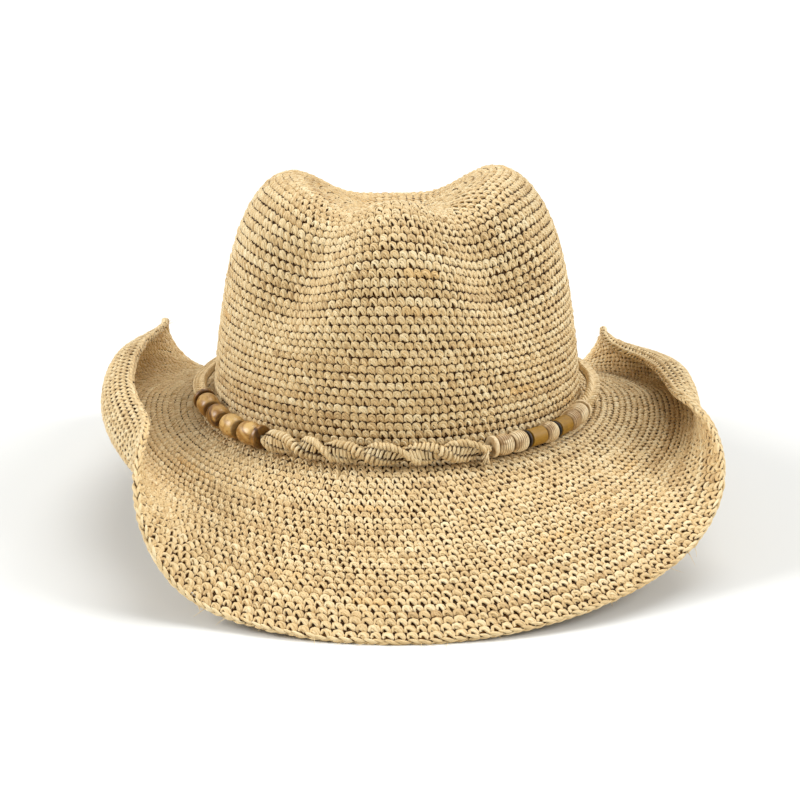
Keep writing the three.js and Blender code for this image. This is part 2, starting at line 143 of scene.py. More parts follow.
def crown_shape(azimuth, share):
    """Points of the crown's outer face; share runs from 0 at the brim to 1 at the top."""
    radius, rise, run = DOME
    r = np.interp(share, run, radius)
    z = np.interp(share, run, rise)
    ahead = np.cos(azimuth)
    lean = TAPER["front"] * np.maximum(ahead, 0) + TAPER["back"] * np.maximum(-ahead, 0)
    x = BASE_HALF_WIDTH * np.sin(azimuth) * r * (1 - TAPER["side"] * z)
    y = -BASE_HALF_LENGTH * ahead * r * (1 - lean * z)
    height = z * CROWN_HEIGHT
    depth = CREASE["front"] + (CREASE["deepest"] - CREASE["front"]) * smooth(y, *CREASE["deepens"])
    depth = depth * (1 - (1 - CREASE["back_share"]) * smooth(y, *CREASE["eases"]))
    across = np.abs((x - CREASE["centre"]) / CREASE["half_width"]) ** CREASE["sharpness"]
    crease = depth * np.exp(-across) * smooth(share, *CREASE["rises"])
    reach = np.hypot(x, y)
    low, high = DENT["turns"]
    climb = np.clip((height - low) / (high - low), 0, 1)
    centre = np.radians(DENT["low"] + (DENT["top"] - DENT["low"]) * climb)
    inset = sag = 0.0
    for side in (-1, 1):
        off = wrap(azimuth - side * centre)
        swell = [
            np.exp(-(off / np.radians(s["wide"])) ** 2 - ((height - s["height"]) / s["tall"]) ** 2)
            for s in (DENT, SAG)
        ]
        inset = inset + DENT["depth"] * swell[0]
        sag = sag + SAG["drop"] * swell[1]
    inset = inset * smooth(reach, *DENT["fades"])
    sag = sag * smooth(height, *SAG["rises"]) * smooth(reach, *SAG["fades"])
    pull = 1 - inset / np.maximum(reach, 1e-6)
    return np.stack(np.broadcast_arrays(x * pull, y * pull, height - crease - sag), -1)


def roll_angle(roll, azimuth, share):
    offset = wrap(azimuth - roll["side"] * np.radians(roll["azimuth"])) * roll["side"]
    width = np.radians(np.where(offset < 0, roll["to_front"], roll["to_back"]))
    from_ease = wrap(azimuth - roll["side"] * np.radians(roll["ease_at"]))
    from_ease = from_ease / np.radians(roll["ease_width"])
    turn = roll["angle"] * np.exp(-np.abs(offset / width) ** roll["plateau"])
    turn = turn + roll["ease"] * np.exp(-from_ease * from_ease)
    start = np.clip((share - roll["starts"]) / (1 - roll["starts"]), 0, 1)
    return np.radians(turn) * start ** roll["power"]


def brim_slope(azimuth, share):
    ahead = np.cos(azimuth)
    focus = np.abs(ahead) ** DROOP_FOCUS
    droop = FRONT_DROOP * (0.5 + 0.5 * ahead) + BACK_DROOP * (0.5 - 0.5 * ahead)
    base = -np.radians(ROOT_SLOPE + droop * np.maximum(share, 0) ** DROOP_POWER) * focus
    base = base + np.radians(SIDE_RISE) * (1 - focus)
    return base + roll_angle(LEFT_ROLL, azimuth, share) + roll_angle(RIGHT_ROLL, azimuth, share)


def brim_width(azimuth):
    return BRIM_WIDTH + FRONT_BACK_EXTRA * np.cos(2 * azimuth)


def brim_shape(azimuth, share, steps=60):
    """Points of the brim's middle layer; share runs from 0 at the crown to 1 at the edge."""
    azimuth, share = np.broadcast_arrays(azimuth, share)
    step = share * brim_width(azimuth) / steps
    reach = np.zeros(share.shape)
    rise = -BREAK_DIP * np.abs(np.cos(azimuth)) ** DROOP_FOCUS
    for i in range(steps):
        slope = brim_slope(azimuth, share * (i + 0.5) / steps)
        reach = reach + np.cos(slope) * step
        rise = rise + np.sin(slope) * step
    out_x, out_y = np.sin(azimuth) / BASE_HALF_WIDTH, -np.cos(azimuth) / BASE_HALF_LENGTH
    size = np.hypot(out_x, out_y)
    x = BASE_HALF_WIDTH * np.sin(azimuth) + out_x / size * reach
    y = -BASE_HALF_LENGTH * np.cos(azimuth) + out_y / size * reach
    return np.stack([x, y, rise], -1)


def unit(v):
    return v / np.maximum(np.linalg.norm(v, axis=-1, keepdims=True), 1e-12)


def run_along(points):
    """Length along a line of points, from 0 at its first."""
    steps = np.linalg.norm(np.diff(points, axis=0), axis=1)
    return np.append(0, steps.cumsum())


# Steps round and along a surface's grid
GRID = (1440, 420)


class Surface:
    """A dense grid of a shape's points and normals, out of the crown and up off the brim.
    layer is the height of the fabric's middle off the shape, and stitch its stitch widths."""

    def __init__(self, shape, layer, stitch, low=0.0, high=1.0, facing=1):
        columns, rows = GRID
        self.low, self.high, self.columns, self.rows = low, high, columns, rows
        self.layer, self.stitch, self.facing = layer, stitch, facing
        azimuth = np.linspace(0, 2 * np.pi, columns + 1)[:, None]
        share = np.linspace(low, high, rows + 1)[None, :]
        self.points = shape(azimuth, share)
        ring = self.points[:-1]
        around = np.roll(ring, -1, 0) - np.roll(ring, 1, 0)
        upward = np.gradient(ring, axis=1)
        normals = unit(np.cross(around, upward)) * facing
        if self.points.shape[1] > 2 and shape is crown_shape:
            normals[:, -1] = normals[:, -2] = normals[:, -3].mean(0)
        self.normals = np.concatenate([normals, normals[:1]])
        self.upward = unit(np.concatenate([upward, upward[:1]]))

    def _read(self, grid, azimuth, share):
        a = np.mod(azimuth / (2 * np.pi), 1) * self.columns
        s = np.clip((share - self.low) / (self.high - self.low), 0, 1) * self.rows
        i = np.minimum(a.astype(int), self.columns - 1)
        j = np.minimum(s.astype(int), self.rows - 1)
        fa, fs = (a - i)[..., None], (s - j)[..., None]
        near = grid[i, j] * (1 - fs) + grid[i, j + 1] * fs
        far = grid[i + 1, j] * (1 - fs) + grid[i + 1, j + 1] * fs
        return near * (1 - fa) + far * fa

    def at(self, azimuth, share, height=0.0):
        azimuth, share = np.broadcast_arrays(azimuth, share)
        offset = np.broadcast_to(height, azimuth.shape)[..., None]
        return self._read(self.points, azimuth, share) + self.normal(azimuth, share) * offset

    def normal(self, azimuth, share):
        azimuth, share = np.broadcast_arrays(azimuth, share)
        return unit(self._read(self.normals, azimuth, share))

    def up(self, azimuth, share):
        azimuth, share = np.broadcast_arrays(azimuth, share)
        return unit(self._read(self.upward, azimuth, share))


crown = Surface(crown_shape, -FABRIC / 2, CROWN_STITCH)
brim = Surface(brim_shape, 0.0, BRIM_STITCH, low=-0.04, facing=-1)
spine = crown.at(0.0, np.linspace(0, 1, 500))
crown_arc = np.linalg.norm(np.diff(spine, axis=0), axis=1).sum()

crown_low, crown_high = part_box("crown")
base = crown_shape(np.linspace(0, 2 * np.pi, 721), 0.0)
ORIGIN = np.array([
    (crown_low.x + crown_high.x) / 2 / MM - (base[:, 0].max() + base[:, 0].min()) / 2,
    (crown_low.y + crown_high.y) / 2 / MM - (base[:, 1].max() + base[:, 1].min()) / 2,
    crown_low.z / MM,
])


# ---------------------------------------------------------------- mesh building


def make_mesh(name, points, loops, sizes, body, material, local=None, tone=None, atlas=None):
    """A piece from points in hat millimetres and faces as flat loop indices with their sizes."""
    mesh = bpy.data.meshes.new(name)
    mesh.vertices.add(len(points))
    mesh.vertices.foreach_set("co", ((points + ORIGIN) * MM).astype(np.float32).ravel())
    mesh.loops.add(len(loops))
    mesh.loops.foreach_set("vertex_index", loops.astype(np.int32))
    mesh.polygons.add(len(sizes))
    starts = np.concatenate([[0], np.cumsum(sizes)[:-1]])
    mesh.polygons.foreach_set("loop_start", starts.astype(np.int32))
    mesh.polygons.foreach_set("loop_total", sizes.astype(np.int32))
    mesh.update(calc_edges=True)
    mesh.polygons.foreach_set("use_smooth", np.ones(len(sizes), bool))
    local = points if local is None else local
    tone = np.tile([0.5, 0.0, 1.0], (len(points), 1)) if tone is None else tone
    for key, values in (("local", local), ("tone", tone)):
        field = mesh.attributes.new(key, "FLOAT_VECTOR", "POINT")
        field.data.foreach_set("vector", values.astype(np.float32).ravel())
    if atlas is not None:
        layer = mesh.uv_layers.new(name="OFBake")
        layer.data.foreach_set("uv", atlas.astype(np.float32).ravel())
    mesh.materials.append(material)
    piece = bpy.data.objects.new(name, mesh)
    bpy.context.scene.collection.objects.link(piece)
    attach(piece, body)
    return piece


def strands(name, centres, hints, half_width, half_thick, body, material, tone, sides=6,
            depth=1.0):
    """Many capped strands at once. centres and hints are (count, sections, 3); a strand's
    section lies flat across its hint, half_width wide and half_thick thick. depth is how far
    each section stands clear of the fabric, in millimetres: sunk ends and the strands'
    undersides get painted shade."""
    count, sections = centres.shape[:2]
    ahead = unit(np.gradient(centres, axis=1))
    across = unit(np.cross(ahead, hints))
    lift = np.cross(across, ahead)
    turn = (np.arange(sides) + 0.5) * 2 * np.pi / sides
    flat = np.sign(np.cos(turn)) * np.abs(np.cos(turn)) ** 0.75
    high = np.sign(np.sin(turn)) * np.abs(np.sin(turn)) ** 0.85
    wide = np.broadcast_to(half_width, (count, sections))[:, :, None, None]
    thick = np.broadcast_to(half_thick, (count, sections))[:, :, None, None]
    ring = (
        centres[:, :, None]
        + across[:, :, None] * wide * flat[None, None, :, None]
        + lift[:, :, None] * thick * high[None, None, :, None]
    )
    steps = np.linalg.norm(np.diff(centres, axis=1), axis=-1)
    run = np.concatenate([np.zeros((count, 1)), steps.cumsum(1)], 1)
    local = np.empty(ring.shape)
    local[..., 0] = flat * wide[..., 0] + rng.uniform(-40, 40, (count, 1, 1))
    local[..., 1] = high * thick[..., 0] + rng.uniform(-40, 40, (count, 1, 1))
    local[..., 2] = run[:, :, None]
    tones = np.broadcast_to(tone[:, None, None, :], ring.shape).copy()
    # The third tone value sets the painted shade: how far a section stands clear, less on the
    # strand's underside, so that undersides are painted darker
    clear = np.broadcast_to(depth, (count, sections))[:, :, None]
    tones[..., 2] = clear + thick[..., 0] * np.where(np.sin(turn) > 0, 0.4, -0.4)
    loops, corners = [], []
    for k in range(sections - 1):
        for s in range(sides):
            t = (s + 1) % sides
            loops += [k * sides + s, k * sides + t, (k + 1) * sides + t, (k + 1) * sides + s]
            corners += [(s, k), (s + 1, k), (s + 1, k + 1), (s, k + 1)]
    last = (sections - 1) * sides
    loops += list(range(sides - 1, -1, -1)) + list(range(last, last + sides))
    corners += [(s, 0) for s in range(sides)] + [(s, sections - 1) for s in range(sides)]
    pattern = np.array(loops)
    sizes = np.array([4] * ((sections - 1) * sides) + [sides] * 2)
    first = np.arange(count)[:, None] * (sections * sides)
    cells = math.ceil(math.sqrt(count))
    corner = np.array(corners, float) / [sides, sections - 1] * 0.84 + 0.08
    place = np.stack([np.arange(count) % cells, np.arange(count) // cells], -1)
    atlas = (place[:, None, :] + corner[None]) / cells
    return make_mesh(
        name, ring.reshape(-1, 3), (pattern[None] + first).ravel(), np.tile(sizes, count), body,
        material, local.reshape(-1, 3), tones.reshape(-1, 3), atlas.reshape(-1, 2),
    )


def lattice(name, rings, body, material, closed=True, local=None, tone=None):
    """A closed surface through rings (ring, point, 3); open stacks get flat end faces."""
    count, size = rings.shape[:2]
    k = np.arange(count if closed else count - 1)[:, None]
    i = np.arange(size)[None, :]
    j = (i + 1) % size
    up = (k + 1) % count
    quads = np.stack([k * size + i, k * size + j, up * size + j, up * size + i], -1)
    loops, sizes = quads.reshape(-1), np.full(quads.size // 4, 4)
    if not closed:
        ends = np.concatenate([np.arange(size)[::-1], (count - 1) * size + np.arange(size)])
        loops, sizes = np.concatenate([loops, ends]), np.append(sizes, [size, size])
    points = rings.reshape(-1, 3)
    corner = points[loops[: len(quads.reshape(-1))].reshape(-1, 4)]
    volume = np.einsum("ij,ij->i", corner[:, 0], np.cross(corner[:, 1], corner[:, 2])).sum()
    volume += np.einsum("ij,ij->i", corner[:, 0], np.cross(corner[:, 2], corner[:, 3])).sum()
    if volume < 0:
        ends = np.cumsum(sizes)
        order = np.concatenate([np.arange(e - 1, e - n - 1, -1) for e, n in zip(ends, sizes)])
        loops = loops[order]
    return make_mesh(name, points, loops, sizes, body, material, local, tone)


# ---------------------------------------------------------------- materials


class Nodes:
    """A material under construction: short calls that add a node and return its output."""

    def __init__(self, name):
        self.material = bpy.data.materials.new(name)
        self.material.use_nodes = True
        self.tree = self.material.node_tree
        self.shader = self.tree.nodes["Principled BSDF"]

    def _link(self, value, socket):
        if isinstance(value, bpy.types.NodeSocket):
            self.tree.links.new(value, socket)
        else:
            socket.default_value = value

    def attribute(self, name):
        node = self.tree.nodes.new("ShaderNodeAttribute")
        node.attribute_name = name
        return node.outputs["Vector"]

    def split(self, vector):
        node = self.tree.nodes.new("ShaderNodeSeparateXYZ")
        self._link(vector, node.inputs[0])
        return node.outputs

    def scaled(self, vector, by):
        node = self.tree.nodes.new("ShaderNodeVectorMath")
        node.operation = "MULTIPLY"
        self._link(vector, node.inputs[0])
        node.inputs[1].default_value = by
        return node.outputs[0]

    def math(self, operation, a, b=0.0, clamp=False):
        node = self.tree.nodes.new("ShaderNodeMath")
        node.operation = operation
        node.use_clamp = clamp
        self._link(a, node.inputs[0])
        self._link(b, node.inputs[1])
        return node.outputs[0]

    def vary(self, value, noise, amount, clamp=False):
        """The value, moved up and down by a noise about its mean of a half."""
        swing = self.math("MULTIPLY", self.math("SUBTRACT", noise, 0.5), amount)
        return self.math("ADD", value, swing, clamp)

    def noise(self, vector, scale, detail=3.0, roughness=0.55, distortion=0.0):
        node = self.tree.nodes.new("ShaderNodeTexNoise")
        self._link(vector, node.inputs["Vector"])
        node.inputs["Scale"].default_value = scale
        node.inputs["Detail"].default_value = detail
        node.inputs["Roughness"].default_value = roughness
        node.inputs["Distortion"].default_value = distortion
        return node.outputs["Fac"]

    def ramp(self, value, *stops):
        node = self.tree.nodes.new("ShaderNodeValToRGB")
        self._link(value, node.inputs[0])
        elements = node.color_ramp.elements
        while len(elements) < len(stops):
            elements.new(0.5)
        for element, (at, colour) in zip(elements, stops):
            element.position = at
            element.color = (*colour, 1)
        return node.outputs[0]

    def mix(self, amount, a, b, blend="MIX"):
        node = self.tree.nodes.new("ShaderNodeMix")
        node.data_type = "RGBA"
        node.blend_type = blend
        for value, socket in ((amount, node.inputs[0]), (a, node.inputs[6]), (b, node.inputs[7])):
            self._link(value if not isinstance(value, tuple) else (*value, 1), socket)
        return node.outputs[2]

    def bump(self, height, strength, distance):
        node = self.tree.nodes.new("ShaderNodeBump")
        node.inputs["Strength"].default_value = strength
        node.inputs["Distance"].default_value = distance
        self._link(height, node.inputs["Height"])
        self._link(node.outputs[0], self.shader.inputs["Normal"])

    def set(self, values):
        for key, value in values.items():
            self._link(value, self.shader.inputs[key])
        return self.material


# Painted shade: the dark brown that raffia is darkened to in the gaps between strands
CREVICE_SHADE_COLOUR = (0.055, 0.020, 0.005)


def raffia(name, dark, mid, light, sheen=0.2, shine=0.45):
    """Split palm leaf: fibre streaks along the strand, waxy, each strand in its own tone.
    Where a strand sinks into the fabric it gets painted shade.
    """
    m = Nodes(name)
    tone, warmth, depth = m.split(m.attribute("tone"))
    local = m.attribute("local")
    fibres = m.noise(m.scaled(local, (2.4, 2.4, 0.25)), 1.0, 3.0, 0.6)
    blotch = m.noise(m.scaled(local, (0.5, 0.5, 0.5)), 0.6, 2.0)
    value = m.vary(tone, fibres, 0.95)
    value = m.vary(value, blotch, 0.4, True)
    colour = m.ramp(value, (0.08, dark), (0.5, mid), (0.92, light))
    tan = tuple(c * k for c, k in zip(mid, (1.0, 0.84, 0.55)))
    colour = m.mix(m.math("MULTIPLY", warmth, 0.55), colour, tan)
    # Painted shade: the colour goes to dark brown as a strand sinks below 0.3 mm clear of the
    # fabric's middle, and its shine goes with it
    crevice_shading = m.math("MULTIPLY", m.math("SUBTRACT", 0.3, depth), 1.0, True)
    colour = m.mix(crevice_shading, colour, CREVICE_SHADE_COLOUR)
    shine = m.math("MULTIPLY", m.math("SUBTRACT", 1.0, crevice_shading), shine)
    m.bump(fibres, 0.7, 0.0005)
    rough = m.math("ADD", m.math("MULTIPLY", blotch, 0.25), 0.4)
    return m.set({
        "Base Color": colour, "Roughness": rough, "Sheen Weight": sheen,
        "Sheen Roughness": 0.4, "Specular IOR Level": shine,
    })


def wood(name, dark, mid, light, figure=3.0, coat=0.35, rough=0.3):
    """Turned and polished wood: bands of figure swirling through it, fine pores, clear coat.
    The tone's second value darkens the wood: in grooves, and as painted shade on the flat
    ends of barrels and discs."""
    m = Nodes(name)
    local = m.attribute("local")
    tone, groove_and_end_shade, _ = m.split(m.attribute("tone"))
    swirl = m.noise(m.scaled(local, (0.13, 0.13, 0.09)), 1.0, 2.0, 0.45, 0.8)
    bands = m.math("SINE", m.math("MULTIPLY", swirl, figure * 2 * math.pi))
    grain = m.noise(m.scaled(local, (2.2, 2.2, 0.5)), 1.0, 3.0, 0.6)
    value = m.math("ADD", tone, m.math("MULTIPLY", bands, 0.2))
    value = m.vary(value, swirl, 1.1)
    value = m.vary(value, grain, 0.4, True)
    colour = m.ramp(value, (0.12, dark), (0.5, mid), (0.9, light))
    # Darker in the grooves, and painted shade on the flat ends of barrels and discs
    colour = m.mix(m.math("MULTIPLY", groove_and_end_shade, 0.85), colour, tuple(c * 0.6 for c in dark))
    m.bump(grain, 0.15, 0.0002)
    rough = m.math("ADD", m.math("MULTIPLY", grain, 0.2), rough)
    return m.set({
        "Base Color": colour, "Roughness": rough, "Coat Weight": coat, "Coat Roughness": 0.28,
    })


def cotton(name, dark, light):
    """Woven ribbon: cross ribs and fine threads."""
    m = Nodes(name)
    local = m.attribute("local")
    around, _, up = m.split(local)
    ribs = m.math("ABSOLUTE", m.math("SINE", m.math("MULTIPLY", around, math.pi / 0.9)))
    threads = m.math("ABSOLUTE", m.math("SINE", m.math("MULTIPLY", up, math.pi / 0.5)))
    fuzz = m.noise(local, 1.2, 4.0)
    value = m.math("ADD", m.math("MULTIPLY", ribs, 0.5), m.math("MULTIPLY", threads, 0.25))
    value = m.math("ADD", value, m.math("MULTIPLY", fuzz, 0.4), True)
    m.bump(value, 0.5, 0.0004)
    colour = m.ramp(value, (0.1, dark), (0.9, light))
    return m.set({"Base Color": colour, "Roughness": 0.9, "Sheen Weight": 0.3})


def steel(name):
    m = Nodes(name)
    local = m.attribute("local")
    drawn = m.noise(m.scaled(local, (3, 3, 0.4)), 1.0, 3.0)
    colour = m.ramp(drawn, (0.2, (0.32, 0.32, 0.33)), (0.8, (0.6, 0.6, 0.61)))
    return m.set({"Base Color": colour, "Metallic": 1.0, "Roughness": 0.35})


RAFFIA = raffia("raffia", (0.44, 0.265, 0.10), (0.775, 0.565, 0.275), (0.95, 0.80, 0.50))
CORD = raffia("raffia_cord", (0.44, 0.28, 0.11), (0.77, 0.58, 0.30), (0.94, 0.81, 0.54))
# Painted shade: near black raffia with almost no shine, for the dark sheets that fill the gaps in
# the fabric, the edging and the braid
SHADE_CORE = raffia("raffia_shade_core", (0.05, 0.02, 0.005), (0.10, 0.043, 0.011), (0.16, 0.08, 0.024), 0.0,
              0.02)
WOOD = wood("polished_wood", (0.075, 0.028, 0.005), (0.33, 0.155, 0.025), (0.68, 0.44, 0.15))
OLIVE = wood("olive_wood", (0.15, 0.07, 0.004), (0.33, 0.17, 0.009), (0.46, 0.26, 0.03), 1.2,
             0.05, 0.45)
CREAM = wood("cream_wood", (0.36, 0.21, 0.08), (0.74, 0.56, 0.31), (0.87, 0.73, 0.47), 2.0, 0.15,
             0.4)
DARK = wood("dark_wood", (0.006, 0.003, 0.002), (0.016, 0.008, 0.005), (0.04, 0.02, 0.01), 2.0,
            0.0, 0.5)
COTTON = cotton("cotton_ribbon", (0.36, 0.27, 0.15), (0.66, 0.55, 0.38))
STEEL = steel("drawn_steel")


# ---------------------------------------------------------------- crochet

# The strands of one stitch: u across in stitch widths, w up in row heights, h off the middle
# layer in millimetres, and the strand's half width as a share of a stitch. The loop goes
# round the stitch; two more strands slant down across it from upper left to lower right.
HALF_LOOP = np.array([
    (-0.27, -0.14, -0.75, 0.12),
    (-0.36, 0.02, 0.30, 0.15),
    (-0.365, 0.34, 0.70, 0.165),
    (-0.26, 0.70, 0.86, 0.18),
    (0.00, 0.81, 0.92, 0.185),
])
LOOP = np.concatenate([HALF_LOOP, HALF_LOOP[-2::-1] * [-1, 1, 1, 1]])
OVER = np.array([
    (-0.30, 0.46, 0.35, 0.11),
    (-0.17, 0.66, 0.96, 0.15),
    (0.04, 0.50, 1.16, 0.16),
    (0.20, 0.20, 1.02, 0.15),
    (0.29, -0.06, 0.30, 0.11),
])
UNDER = np.array([
    (-0.27, 0.34, 0.35, 0.10),
    (-0.16, 0.36, 0.92, 0.14),
    (-0.01, 0.22, 1.00, 0.145),
    (0.09, -0.02, 0.35, 0.11),
])
PLAIN = LOOP[::2] * [1, 1, 1, 1.3]
# What a stitch is made of, on the outside and on the sides that hardly show: the ending of the
# piece's name, the strand, how much lighter it is and how loosely it lies
FULL_STITCH = [("", LOOP, 0, 1.0), ("_over", OVER, 0.06, 1.9), ("_under", UNDER, -0.06, 1.9)]
PLAIN_STITCH = [("", PLAIN, 0, 1.0)]
# The strands' half thickness, and the half thickness of the dark sheet of painted shade in the
# fabric's middle
STRAND_THICK, CORE_HALF_THICK = 0.56, 0.35
# The stitches' mean slant, and how much they vary, as shares of a stitch
SLANT = -0.10
SCATTER = {"slant": 0.06, "tilt": 0.07, "wide": 0.04, "tall": 0.035, "place": 0.015}


def round_edges(rounds, length, end):
    """Shares where the rounds begin and end, so that a whole number fits from 0 to end."""
    share = np.linspace(0, end, 2000)
    count = np.append(0, np.cumsum(np.diff(share) * length / np.interp(
        share[1:], rounds["share"], rounds["tall"])))
    return np.interp(np.linspace(0, count[-1], round(count[-1]) + 1), count, share)


def strand_tones(count):
    """Tone and warmth along a row: one strand of raffia lasts for some stitches."""
    tones = np.ones((count, 3))
    at = 0
    while at < count:
        length = int(rng.integers(5, 30))
        warm = rng.uniform(0.4, 1.0) if rng.random() < 0.05 else rng.uniform(0, 0.15)
        if warm > 0.3:
            length = min(length, 4)
        tones[at : at + length, :2] = rng.normal(0.54, 0.07), warm
        at += length
    tones[:, 0] += rng.normal(0, 0.06, count)
    return tones


def stitch_row(surface, low, high):
    """The stitches of one round: centre azimuths, azimuth widths and share limits."""
    azimuth = np.linspace(0, 2 * np.pi, 1441)
    ring = surface.at(azimuth, (low + high) / 2, surface.layer)
    width = np.interp(low, surface.stitch["share"], surface.stitch["wide"])
    run = run_along(ring)
    count = max(int(round(run[-1] / width)), 5)
    edges = (np.arange(count + 1) + rng.random()) / count * run[-1]
    edges[1:-1] += rng.normal(0, 0.045, count - 1) * run[-1] / count
    around = np.interp(np.mod(edges, run[-1]), run, azimuth) + 2 * np.pi * (edges >= run[-1])
    around = np.unwrap(around)
    centre, span = (around[1:] + around[:-1]) / 2, np.diff(around)
    return np.stack([centre, span, np.full(count, low), np.full(count, high)], -1)


def laid_stitches(label, surface, table, ripple, template, side, loose, tones):
    """One strand per stitch, shaped by the template and set into its cell of the fabric."""
    centre, span, low, high = table.T
    count = len(table)
    u, w, h, half = (np.tile(column, (count, 1)) for column in template.T)
    slant = rng.normal(SLANT, SCATTER["slant"] * loose, (count, 1))
    tilt = rng.normal(0.0, SCATTER["tilt"] * loose, (count, 1))
    u = u * rng.normal(1.0, SCATTER["wide"] * loose, (count, 1)) + slant * (w - 0.4)
    w = 0.4 + (w - 0.4) * rng.normal(1.0, SCATTER["tall"] * loose, (count, 1)) + tilt * u
    w = w + rng.normal(0, SCATTER["place"] * loose, (count, 1)) + ripple
    h = h + rng.normal(0, 0.07 * loose, (count, 1)) + rng.normal(0, 0.04, h.shape)
    azimuth = centre[:, None] + u * span[:, None]
    share = low[:, None] + (w if surface.facing > 0 else 1 - w) * (high - low)[:, None]
    share = np.clip(share, surface.low, surface.high)
    points = surface.at(azimuth, share, surface.layer + side * h)
    hints = surface.normal(azimuth, share) * side
    middle = (low + high) / 2
    left = surface.at(centre - span / 2, middle, surface.layer)
    right = surface.at(centre + span / 2, middle, surface.layer)
    size = np.linalg.norm(right - left, axis=-1)[:, None]
    half = half * size * rng.normal(1.0, 0.06, (count, 1))
    thick = STRAND_THICK * rng.normal(1.0, 0.08, (count, 1))
    sides = 5 if template is LOOP or template is PLAIN else 4
    # The template's heights set the painted shade: the sunk leg ends are darkened
    return strands(label, points, hints, half, thick, "hat", RAFFIA, tones, sides, h)


def crochet(name, surface, edges, side, groups, full=1.0):
    """Rounds of stitches between share edges, made as one piece per group of rounds and kind
    of strand. Side 1 has full stitches and side -1 plain ones; full is the share of the
    stitches that have the lower slanting strand."""
    rows = len(edges) - 1
    waves = rng.uniform(0, 2 * np.pi, (rows + 1, 2))
    pieces = []
    for g, chunk in enumerate(np.array_split(np.arange(rows), groups)):
        table, tones, index = [], [], []
        for r in chunk:
            row = stitch_row(surface, edges[r], edges[r + 1])
            table.append(row)
            tones.append(strand_tones(len(row)))
            index.append(np.full(len(row), r))
        table, tones, index = map(np.concatenate, (table, tones, index))
        centre = table[:, 0]
        ripple = 0.03 * np.sin(9 * centre + waves[index, 0])
        ripple = (ripple + 0.02 * np.sin(23 * centre + waves[index, 1]))[:, None]
        for ending, template, lighter, loose in FULL_STITCH if side > 0 else PLAIN_STITCH:
            shade = tones + rng.normal(lighter, 0.06, (len(tones), 1)) * [1, 0, 0]
            kept = rng.random(len(table)) < (full if template is UNDER else 1)
            pieces.append(laid_stitches(f"{name}_{g + 1}{ending}", surface, table[kept],
                                        ripple[kept], template, side, loose, shade[kept]))
    return pieces


def shade_sheet(name, surface, sides, shares):
    """A dark sheet of painted shade in the middle of the fabric, which closes the gaps
    between its strands.
    """
    azimuth = np.linspace(0, 2 * np.pi, sides + 1)[:-1]
    outer, inner = surface.layer + CORE_HALF_THICK, surface.layer - CORE_HALF_THICK
    rings = [surface.at(azimuth, k, outer) for k in shares]
    rings += [surface.at(azimuth, k, inner) for k in shares[::-1]]
    return lattice(name, np.stack(rings), "hat", SHADE_CORE)


def stands_for(pieces, node):
    for piece in pieces:
        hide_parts(node)


def make_crown():
    """The crown's crochet: full stitches outside, plain ones inside, on a dark core of
    painted shade.
    """
    edges = round_edges(CROWN_ROUND, crown_arc, 1.0)
    outside = crochet("crown_rounds", crown, edges, 1, 3, 0.8)
    inside = crochet("crown_lining", crown, edges, -1, 2)
    core = shade_sheet("crown_shade_core", crown, 360, np.linspace(0.004, 0.992, 90))
    stands_for(outside + inside + [core], "crown")


# Where the last round, which runs into the edging, ends on the brim
EDGE_ROUND_END = 0.984


def make_brim():
    """The brim's crochet, and the last rounds above and below, which belong to the edging."""
    front = brim_width(0.0)
    end = 1 - (2 * EDGING_RADIUS + SEAM_GAP) / front
    edges = round_edges(BRIM_ROUND, front, end)
    under_edges = np.concatenate([[edges[0] - 0.035], edges])
    top = crochet("brim_rounds", brim, edges, 1, 3, 0.45)
    under = crochet("brim_underside", brim, under_edges, -1, 2)
    # A dark sheet of painted shade between the brim's two layers of stitches
    core = shade_sheet("brim_shade_core", brim, 480, np.linspace(-0.03, end + 0.01, 110))
    stands_for(top + under + [core], "brim")
    last = np.array([end, EDGE_ROUND_END])
    edge = crochet("brim_edging_top", brim, last, 1, 1, 0.2)
    edge += crochet("brim_edging_below", brim, last, -1, 1)
    stands_for(edge, "brim_edging")


# Rows of the edge's chain: where a link starts and ends round the edge, in degrees up from
# straight out, and how many links it reaches along.
CHAIN = [(54, 14, 1.3), (-30, 8, 1.3), (-100, -46, 1.4)]
# The length of a link in millimetres
LINK = 4.2


def edge_points(at, turn, radius):
    """Points round the brim's edge: at is an azimuth, turn 0 faces out and 90 degrees up."""
    share = 1 - EDGING_RADIUS / brim_width(at)
    out, normal = brim.up(at, share), brim.normal(at, share)
    spoke = out * np.cos(turn)[..., None] + normal * np.sin(turn)[..., None]
    return brim.at(at, share) + spoke * radius[..., None], spoke


